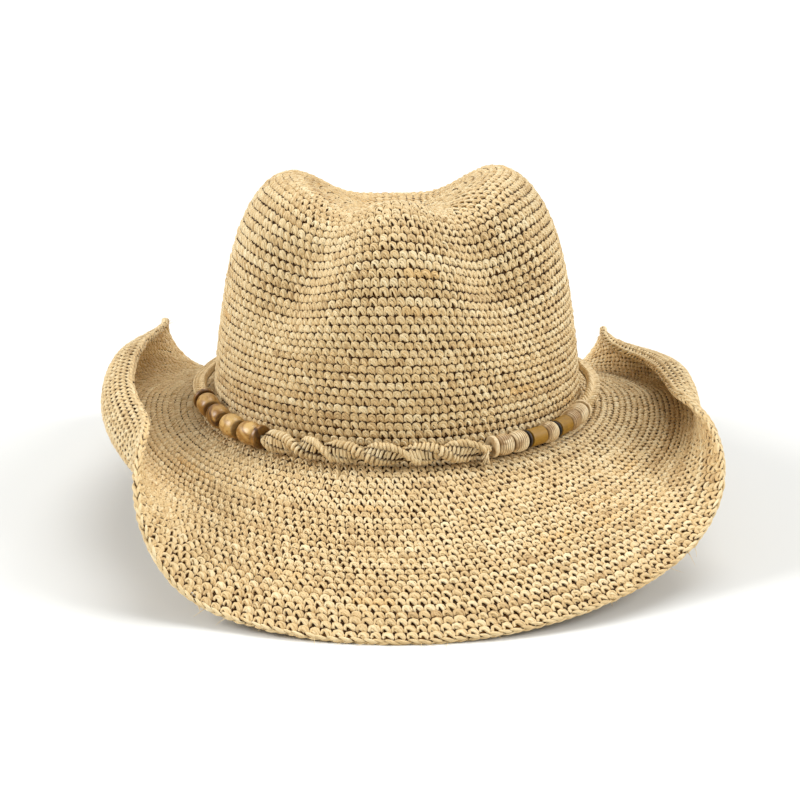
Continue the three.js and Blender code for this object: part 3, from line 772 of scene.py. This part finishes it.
def make_edging():
    """A round of chain stitches over the brim's edge, on a dark core of painted shade that
    holds the wire.
    """
    azimuth = np.linspace(0, 2 * np.pi, 2881)
    ring = brim.at(azimuth, 1 - EDGING_RADIUS / brim_width(azimuth))
    run = run_along(ring)
    count = int(run[-1] / LINK)
    pieces = []
    t = np.linspace(0, 1, 9)[None]
    for k, (start, end, reach) in enumerate(CHAIN):
        places = (np.arange(count) + 0.17 * k + rng.normal(0, 0.08, count)) / count * run[-1]
        along = places[:, None] + t * reach * LINK * rng.normal(1, 0.06, (count, 1))
        at = np.interp(np.mod(along, run[-1]), run, azimuth)
        turn = np.radians(start + (end - start) * smooth(t, 0, 1) + rng.normal(0, 6, (count, 1)))
        radius = 0.9 + 0.65 * np.sin(np.pi * t) ** 0.7 + rng.normal(0, 0.1, (count, 1))
        points, spoke = edge_points(at, turn, radius)
        width = (0.2 + 0.46 * np.sin(np.pi * t) ** 0.8) * rng.normal(1, 0.08, (count, 1))
        # The links' ends, which dip round the edge, get painted shade
        pieces.append(strands(f"brim_edging_chain_{k + 1}", points, spoke, width, 0.6, "hat",
                              RAFFIA, strand_tones(count), 6, 2.0 * np.sin(np.pi * t) - 0.5))
    # The dark core of painted shade round the edge, seen between the links
    rings = []
    for turn in np.arange(10) * 2 * np.pi / 10:
        at = azimuth[:-1:4]
        rings.append(edge_points(at, np.full(at.shape, turn), np.full(at.shape, 0.95))[0])
    pieces.append(lattice("brim_edging_shade_core", np.stack(rings, 1), "hat", SHADE_CORE))
    stands_for(pieces, "brim_edging")


LOOSE_FIBRES, FLOOR_CLEARANCE = 60, 0.6


def make_fuzz():
    """Short loose fibres that stand off the edging."""
    count = LOOSE_FIBRES
    azimuth = rng.uniform(-np.pi, np.pi, count)
    start, spoke = edge_points(azimuth, rng.uniform(-0.4, 0.7, count), np.full(count, 1.5))
    sideways = np.cross(spoke, brim.normal(azimuth, 0.97)) * rng.normal(0, 0.8, (count, 1))
    heading = unit(spoke + sideways)
    length = rng.uniform(2.0, 6.0, (count, 1, 1))
    t = np.linspace(0, 1, 7)[None, :, None]
    curl = rng.normal(0, 0.35, (count, 1, 3)) * t * t
    points = start[:, None] + (heading[:, None] * t + curl) * length
    lowest = FLOOR_CLEARANCE - ORIGIN[2]
    points[..., 2] = np.maximum(points[..., 2], lowest)
    hints = np.broadcast_to(brim.normal(azimuth, 0.97)[:, None], points.shape)
    width = 0.15 * (1 - 0.8 * t[..., 0])
    fuzz = strands("loose_fibres", points, hints, width, width * 0.7, "hat", CORD,
                   strand_tones(count), 5)


SWEATBAND_HEIGHT, SWEATBAND_THICKNESS = 27.0, 0.45
MEAN_RADIUS = 93.0
SEAM_STITCHES = 170


def make_sweatband():
    """Grosgrain ribbon turned in along both edges, sewn to the crown near its lower edge."""
    azimuth = np.linspace(0, 2 * np.pi, 513)[:-1]
    height, inset, thick = SWEATBAND_HEIGHT, FABRIC + 0.5, SWEATBAND_THICKNESS
    ups = np.concatenate([[0.0, 0.35, 0.9, 2.6], np.linspace(4, height - 4, 8),
                          [height - 2.6, height - 0.9, height - 0.35, height]])
    fold = 0.35 * (1 - smooth(np.minimum(ups, height - ups), 2.2, 2.9))
    bulge = np.sqrt(np.clip(np.minimum(ups, height - ups) / 0.6, 0.12, 1))
    wave = 0.15 * np.sin(7 * azimuth) + 0.1 * np.sin(17 * azimuth + 1)
    rings, local = [], []
    for outer in (True, False):
        order = range(len(ups)) if outer else reversed(range(len(ups)))
        for k in order:
            off = inset if outer else inset + (thick + fold[k]) * bulge[k] + 0.2
            rings.append(crown.at(azimuth, ups[k] / crown_arc, -off + 0.15 * wave))
            local.append(np.stack([azimuth * MEAN_RADIUS, np.zeros_like(azimuth),
                                   np.full_like(azimuth, ups[k])], -1))
    ribbon = lattice("sweatband_ribbon", np.stack(rings), "hat", COTTON,
                     local=np.concatenate(local))
    count = SEAM_STITCHES
    at = (np.arange(count) + 0.5) / count * 2 * np.pi
    t = np.linspace(-1, 1, 5)[None]
    length = 1.1 / MEAN_RADIUS
    points = crown.at(at[:, None] + t * length, 1.7 / crown_arc, -(inset + 1.05) + 0.35 * t * t)
    hints = crown.normal(at[:, None] + t * length, 1.7 / crown_arc)
    thread = strands("sweatband_stitching", points, hints, 0.22, 0.22, "hat", CORD,
                     strand_tones(count), 5)
    stands_for([ribbon, thread], "sweatband")


# ---------------------------------------------------------------- hatband


def band_centre(degrees):
    """The hatband's centre line, in the corner between crown and brim, higher at the back."""
    degrees = np.asarray(degrees, float)
    azimuth = np.radians(degrees)
    left, right, back = BAND_RADIUS.values()
    beads = left + (right - left) * smooth(degrees, *BAND_CROSSES)
    radius = beads + (back - beads) * smooth(np.abs(degrees), *BAND_THINS)
    slope = brim_slope(azimuth, BAND_SHARE)
    reach = radius + BAND_STANDOFF
    centre = brim_shape(azimuth, reach / np.cos(slope) / brim_width(azimuth))
    centre[..., 2] += (FABRIC / 2 + radius + BAND_STANDOFF) / np.cos(slope)
    centre[..., 2] += BAND_RISE["height"] * smooth(np.abs(degrees), *BAND_RISE["along"])
    return centre


class Line:
    """The hatband's centre line between two azimuths, read by length from its start."""

    def __init__(self, start, end):
        degrees = np.linspace(start, end, 1200)
        self.points = band_centre(degrees)
        self.run = run_along(self.points)
        self.length = self.run[-1]
        self.ahead = unit(np.gradient(self.points, axis=0))

    def _read(self, values, at):
        return np.stack([np.interp(at, self.run, values[:, k]) for k in range(3)], -1)

    def frame(self, at):
        """Centre, direction ahead, outward and up at lengths along the line."""
        at = np.clip(at, 0, self.length)
        ahead = unit(self._read(self.ahead, at))
        up = unit(np.array([0, 0, 1.0]) - ahead * ahead[..., 2:3])
        out = np.cross(ahead, up)
        return self._read(self.points, at), ahead, out, up


# Lengths along the braid, as shares of it, where the ribbon of knots is seen edge on; and the
# ribbon's half width, half thickness and the length of one knot
NECKS = (0.0, 0.185, 0.315, 0.473, 0.652, 0.805, 0.97)
BRAID = {"half_wide": 4.3, "half_thick": 0.9, "knot": 1.62}


def knotted_braid():
    """A flat braid of half knots that turns on itself: doubled cords lie across it from edge
    to edge, front and back, and small loops hold them along both edges."""
    line = Line(BRAID_FROM, BRAID_TO)
    half_wide, half_thick, knot = BRAID.values()

    def place(at, x, z, push=0.0):
        centre, _, out, up = line.frame(at + push)
        lobe = np.interp(at / line.length, NECKS, np.arange(len(NECKS)))
        turn = np.pi * (lobe + 0.5 + 0.1 * np.sin(2 * np.pi * lobe))
        taper = 0.62 + 0.38 * smooth(at, 0, 5) * smooth(line.length - at, 0, 4)
        taper = taper * (0.84 + 0.16 * np.abs(np.sin(np.pi * lobe)))
        a = (x * np.cos(turn) - z * np.sin(turn)) * taper
        b = (x * np.sin(turn) + z * np.cos(turn)) * taper
        radial = out * b[..., None] + up * a[..., None]
        return centre + radial, unit(radial)

    pieces = []
    count = int(line.length / knot)
    middle = ((np.arange(count) + 0.5) / count * line.length)[:, None]
    turn = np.linspace(0, 2 * np.pi, 19)[None]
    at = middle + rng.normal(0, 0.16, (count, 1)) + 0 * turn
    bend = 0.3 * np.sin(2 * turn) + rng.normal(0.9, 0.2, (count, 1)) * np.cos(turn)
    x = (half_wide - 1.1) * np.cos(turn) * rng.normal(1, 0.04, (count, 1))
    z = (half_thick + 0.1) * np.sin(turn) * rng.normal(1, 0.1, (count, 1))
    points, radial = place(at, x, z, bend)
    width = 0.68 * rng.normal(1, 0.12, (count, 1)) + 0 * turn
    # Painted shade where the doubled cords turn round the braid's edges
    depth = 1.5 * np.abs(np.sin(turn)) + 0.1
    pieces.append(strands("front_braid_knots", points, radial, width, 0.7, "hatband", CORD,
                          strand_tones(count), 7, depth))
    turn = np.radians(np.linspace(-150, 150, 13))[None]
    for k, side in enumerate((-1, 1)):
        at = middle + knot / 2 + rng.normal(0, 0.12, (count, 1)) + 0 * turn
        slant = 1.0 * turn / turn.max() + rng.normal(0, 0.12, (count, 1))
        x = side * (half_wide - 1.45 + 1.3 * np.cos(turn) * rng.normal(1, 0.1, (count, 1)))
        z = (half_thick + 0.6) * np.sin(turn) * rng.normal(1, 0.08, (count, 1))
        points, radial = place(at, x, z, slant)
        width = 0.70 * rng.normal(1, 0.08, (count, 1)) + 0 * turn
        # Painted shade where the loops tuck into the braid
        pieces.append(strands(f"front_braid_loops_{k + 1}", points, radial, width, 0.7,
                              "hatband", CORD, strand_tones(count), 6, 1.3 * np.cos(turn) + 0.2))
    # A dark core of painted shade in the gaps between the cords
    turn = np.arange(10) * 2 * np.pi / 10
    rings = [place(np.full(10, at), (half_wide - 1.4) * np.cos(turn), 0.7 * np.sin(turn))[0]
             for at in np.linspace(0, line.length, 160)]
    core = lattice("front_braid_shade_core", np.stack(rings), "hatband", SHADE_CORE, closed=False)
    stands_for(pieces + [core], "front_braid")
    return line


TUFT_FIBRES = 22


def make_tuft(line):
    """Ends of the braid's cords, hanging loose in front of the first cream disc."""
    count = TUFT_FIBRES
    centre, ahead, out, up = (v[0] for v in line.frame(np.array([line.length - 1.2])))
    t = np.linspace(0, 1, 9)[None, :, None]
    spread = rng.normal(0, 1, (count, 2))
    start = centre + out * 2.2 + out * spread[:, :1] * 0.5 + up * spread[:, 1:] * 0.6 - up * 0.6
    heading = unit(-up * 1.0 - ahead * rng.normal(0.75, 0.4, (count, 1))
                   + out * rng.normal(0.5, 0.25, (count, 1)))
    length = rng.uniform(3.5, 6.0, (count, 1, 1))
    points = start[:, None] + heading[:, None] * t * length
    points = points + (out * rng.normal(0.2, 0.3, (count, 1)))[:, None] * t * t * 2
    hints = np.broadcast_to(out, points.shape)
    width = 0.34 * (1 - 0.75 * t[..., 0] ** 2)
    tuft = strands("front_braid_tuft", points, hints, width, width * 0.6, "hatband", CORD,
                   strand_tones(count), 5)
    stands_for([tuft], "front_braid")


# The plait: how far its strands swing sideways and lift, the length of one full turn, how far
# its face leans up from the hat's side, the gap between a strand's two plies and their size
PLAIT = {
    "swing": 2.4, "lift": 1.15, "pitch": 7.8, "lean": 70, "ply": 0.55, "wide": 0.52, "thick": 0.6,
}


def plait(name, start, end, node):
    """Three doubled strands plaited flat along the hatband's line."""
    line = Line(start, end)
    at = np.linspace(0, line.length, int(line.length / 0.4))
    centre, _, out, up = line.frame(at)
    points, hints, depths = [], [], []
    lean = math.radians(PLAIT["lean"])
    across = up * math.cos(lean) - out * math.sin(lean)
    face = out * math.cos(lean) + up * math.sin(lean)
    ends = smooth(at, 0, 3) * smooth(line.length - at, 0, 3) * 0.6 + 0.4
    for strand in range(3):
        phase = 2 * np.pi * (at / PLAIT["pitch"] + strand / 3) + 0.25 * np.sin(at * 0.31)
        for ply in (-PLAIT["ply"], PLAIT["ply"]):
            x = ends * (PLAIT["swing"] * np.sin(phase) + ply * np.cos(phase))
            z = ends * (PLAIT["lift"] * np.sin(2 * phase) + 0.5 * ply)
            points.append(centre + across * x[:, None] + face * z[:, None])
            hints.append(face)
            # Painted shade where a strand passes under the others
            depths.append(np.maximum(0.1 + 0.9 * z + 0.2 * np.abs(x), -0.1))
    made = strands(name, np.stack(points), np.stack(hints), PLAIT["wide"], PLAIT["thick"],
                   "hatband", CORD, strand_tones(len(points)), 6, np.stack(depths))
    stands_for([made], node)


TWIST_PITCH, PLY_RADIUS = 3.4, 0.4


def twisted_cord(name, start, end, node):
    """Two plies twisted together, which carry the beads."""
    line = Line(start, end) if start < end else Line(end, start)
    at = np.linspace(0, line.length, int(line.length / 0.35))
    centre, _, out, up = line.frame(at)
    points = []
    for ply in range(2):
        helix = 2 * np.pi * (at / TWIST_PITCH + ply / 2)
        points.append(centre + out * (PLY_RADIUS * np.cos(helix))[:, None]
                      + up * (PLY_RADIUS * np.sin(helix))[:, None])
    hints = np.broadcast_to(out, (2, len(at), 3))
    made = strands(name, np.stack(points), hints, 0.42, 0.42, "hatband", CORD,
                   strand_tones(2), 6)
    stands_for([made], node)


def make_knot():
    """The knot that closes the hatband at the back: a double trefoil pulled tight."""
    low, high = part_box("back_knot")
    centre = np.array((low + high) / 2) / MM - ORIGIN
    size = np.array(high - low) / MM / 2
    t = np.linspace(0, 2 * np.pi, 90)
    points, hints = [], []
    for ply in (-0.3, 0.3):
        x = (np.sin(t) + 2 * np.sin(2 * t)) / 3
        y = (np.cos(t) - 2 * np.cos(2 * t)) / 3
        z = -np.sin(3 * t) * 0.55
        shape = np.stack([x * (size[0] - 1.2), z * (size[1] - 0.8), y * (size[2] - 1.0)], -1)
        shape = shape * (1 + 0.14 * ply)
        points.append(centre + shape + np.array([0, ply, 0]))
        hints.append(unit(shape))
    made = strands("back_knot_cord", np.stack(points), np.stack(hints), 0.95, 0.8, "hatband",
                   CORD, strand_tones(2), 7)
    stands_for([made], "back_knot")


# ---------------------------------------------------------------- beads


def arc_profile(radius, length, end, power):
    """A barrel: radius falls from the middle to the ends as a superellipse."""
    along = np.sin(np.linspace(-np.pi / 2, np.pi / 2, 41)) * length / 2
    share = np.abs(2 * along / length)
    return np.stack([end + (radius - end) * (1 - share ** power) ** (1 / power), along], -1)


def barrel(length, radius):
    return arc_profile(radius, length, 0.62 * radius, 2.3)


def disc(length, radius):
    return arc_profile(radius, length, radius - 0.45 * min(length, 1.4), 3.2)


def tube(length, radius):
    return arc_profile(radius, length, radius - 0.7, 9.0)


GROOVES, GROOVE_DEPTH = 7, 0.3
# Painted shade: how much darker a bead's flat ends are, where the next bead shades them
BEAD_END_SHADE = 0.55
BEAD_SIDES = 56


def groove_at(along, length):
    return np.cos(np.pi * GROOVES * (along / length + 0.5)) ** 2


def grooved(length, radius):
    along = np.sin(np.linspace(-np.pi / 2, np.pi / 2, 141)) * length / 2
    share = np.abs(2 * along / length)
    body = 0.62 * radius + 0.38 * radius * (1 - share ** 2.4) ** (1 / 2.4)
    inside = np.where(share < 0.93, groove_at(along, length) ** 5, 0)
    return np.stack([body - GROOVE_DEPTH * inside, along], -1)


# Kinds of bead: length, radius, profile, material and slot
BEADS = {
    "wood_bead": (10.0, 5.0, barrel, WOOD, "wood"),
    "wood_disc": (2.0, 5.1, disc, WOOD, "wood"),
    "wood_tube": (8.6, 3.8, tube, OLIVE, "light_wood"),
    "cream_bead": (7.2, 4.5, grooved, CREAM, "cream"),
    "cream_disc": (1.8, 4.5, disc, CREAM, "cream"),
    "dark_disc": (1.0, 3.75, disc, DARK, "dark"),
}
# How light each bead's own piece of wood is, from 0 to 1
BEAD_TONES = {
    "wood_bead_1": 0.62, "wood_bead_2": 0.74, "wood_bead_3": 0.58, "wood_bead_4": 0.6,
    "wood_disc_front": 0.42, "wood_disc_back": 0.3, "wood_tube_1": 0.55, "wood_tube_2": 0.48,
}


def string_end(node, direction):
    """The azimuth in degrees where the plait starts behind the string's last bead."""
    joint = next(j for j in frame["joints"] if j["child"] == node)
    degrees = direction * np.linspace(40, 90, 2000)
    away = band_centre(degrees) + ORIGIN - np.array(joint["pos_m"]) / MM
    nearest = int(np.argmin(np.linalg.norm(away, axis=1)))
    run = run_along(away[nearest:])[1:]
    length = next(BEADS[k][0] for k in BEADS if node.startswith(k))
    return float(degrees[nearest + int(np.searchsorted(run, length / 2 + 0.3))])


def make_bead(joint):
    node = joint["child"]
    kind = next(k for k in BEADS if node.startswith(k))
    length, radius, shape, material, slot = BEADS[kind]
    profile = shape(length, radius)
    bore = [[BORE_RADIUS, profile[-1, 1]], [BORE_RADIUS, 0.0], [BORE_RADIUS, profile[0, 1]]]
    profile = np.vstack([profile, bore])
    turn = np.arange(BEAD_SIDES) * 2 * np.pi / BEAD_SIDES
    ring = np.stack([
        profile[:, :1] * np.cos(turn), profile[:, :1] * np.sin(turn),
        np.broadcast_to(profile[:, 1:], (len(profile), BEAD_SIDES)),
    ], -1)
    axis = Vector(joint["axis"]).normalized()
    turned = axis.to_track_quat("Z", "Y").to_matrix() @ Matrix.Rotation(rng.uniform(0, 6), 3, "Z")
    placed = ring @ np.array(turned).T + np.array(joint["pos_m"]) / MM - ORIGIN
    local = ring.reshape(-1, 3) + rng.uniform(-60, 60, 3)
    tone = np.tile([BEAD_TONES.get(node, 0.5), 0, 1.0], (ring[..., 0].size, 1))
    along = ring[..., 2].reshape(-1)
    if shape is grooved:
        tone[:, 1] = groove_at(along, length) ** 5
    # Painted shade on the flat ends of barrels and discs, where the next bead shades them
    if shape is barrel or shape is disc:
        tone[:, 1] = BEAD_END_SHADE * smooth(np.abs(2 * along / length), 0.9, 1.0)
    bead = lattice(node + "_turned", placed, node, material, local=local, tone=tone)
    stands_for([bead], node)


# ---------------------------------------------------------------- the whole hat

make_crown()
make_brim()
make_edging()
make_fuzz()
make_sweatband()
make_tuft(knotted_braid())
spins = [j for j in frame["joints"] if j["child"] not in ("hat", "hatband")]
for spin_joint in spins:
    make_bead(spin_joint)
left_end = string_end("wood_disc_back", -1)
right_end = string_end("cream_disc_back", 1)
twisted_cord("left_bead_string", left_end, BRAID_FROM, "left_bead_cord")
twisted_cord("right_bead_string", BRAID_TO, right_end, "right_bead_cord")
plait("left_plait", -180 + PLAIT_ENDS, left_end, "left_braid")
plait("right_plait", right_end, 180 - PLAIT_ENDS, "right_braid")
make_knot()

wire = frame["nodes"]["brim_wire"]
wire.data.materials.clear()
wire.data.materials.append(STEEL)


# ---------------------------------------------------------------- studio


FLOOR_COLOUR = (0.80, 0.805, 0.785, 1)
FLOOR_HALF_SIZE = 40.0
# Suns: the direction towards each, its strength and its width in degrees
SUNS = {
    "overhead": ((0.2, 0.3, 1.0), 1.3, 40),
    "side_left": ((-1.0, -0.1, 0.65), 2.2, 30),
    "side_right": ((1.0, -0.2, 0.7), 1.75, 30),
}
# The sky's strength on the hat and as the camera sees it
SKY_LIGHT, SKY_SEEN = 0.42, 1.0


def make_floor():
    mesh = bpy.data.meshes.new("floor")
    size = FLOOR_HALF_SIZE
    corners = [(-size, -size, 0), (size, -size, 0), (size, size, 0), (-size, size, 0)]
    mesh.from_pydata(corners, [], [(0, 1, 2, 3)])
    m = Nodes("pale_floor")
    mesh.materials.append(m.set({
        "Base Color": FLOOR_COLOUR, "Roughness": 0.9, "Specular IOR Level": 0.1,
    }))
    floor = bpy.data.objects.new("floor", mesh)
    bpy.context.scene.collection.objects.link(floor)


def add_sun(name, direction, strength, softness):
    light = bpy.data.lights.new(name, "SUN")
    light.energy = strength
    light.angle = math.radians(softness)
    lamp = bpy.data.objects.new(name, light)
    lamp.rotation_mode = "QUATERNION"
    lamp.rotation_quaternion = Vector(direction).to_track_quat("Z", "Y")
    bpy.context.scene.collection.objects.link(lamp)


def make_studio():
    world = bpy.data.worlds.new("studio")
    bpy.context.scene.world = world
    world.use_nodes = True
    tree = world.node_tree
    background = tree.nodes["Background"]
    rays = tree.nodes.new("ShaderNodeLightPath")
    level = tree.nodes.new("ShaderNodeMapRange")
    level.inputs["To Min"].default_value = SKY_LIGHT
    level.inputs["To Max"].default_value = SKY_SEEN
    tree.links.new(rays.outputs["Is Camera Ray"], level.inputs["Value"])
    tree.links.new(level.outputs["Result"], background.inputs["Strength"])
    background.inputs["Color"].default_value = (1, 1, 1, 1)
    for name, (direction, strength, softness) in SUNS.items():
        add_sun(name, direction, strength, softness)
    bpy.context.scene.view_settings.view_transform = "Standard"


# The camera: height of the point that it looks at, its elevation, distance and lens
TARGET_HEIGHT, TARGET_LEFT = 0.0433, 0.0002
ELEVATION, DISTANCE, LENS = math.radians(15.106), 0.7494, 72.2


def make_camera():
    low, high = cad_box
    target = Vector(((low.x + high.x) / 2 - TARGET_LEFT, 0.0, TARGET_HEIGHT))
    camera = bpy.data.cameras.new("camera")
    camera.lens = LENS
    camera.sensor_width = 36.0
    camera.clip_start = 0.05
    place = bpy.data.objects.new("camera", camera)
    back = Vector((0, -math.cos(ELEVATION), math.sin(ELEVATION)))
    place.location = target + back * DISTANCE
    place.rotation_mode = "QUATERNION"
    place.rotation_quaternion = (-back).to_track_quat("-Z", "Y")
    bpy.context.scene.collection.objects.link(place)
    bpy.context.scene.camera = place


make_floor()
make_studio()
make_camera()
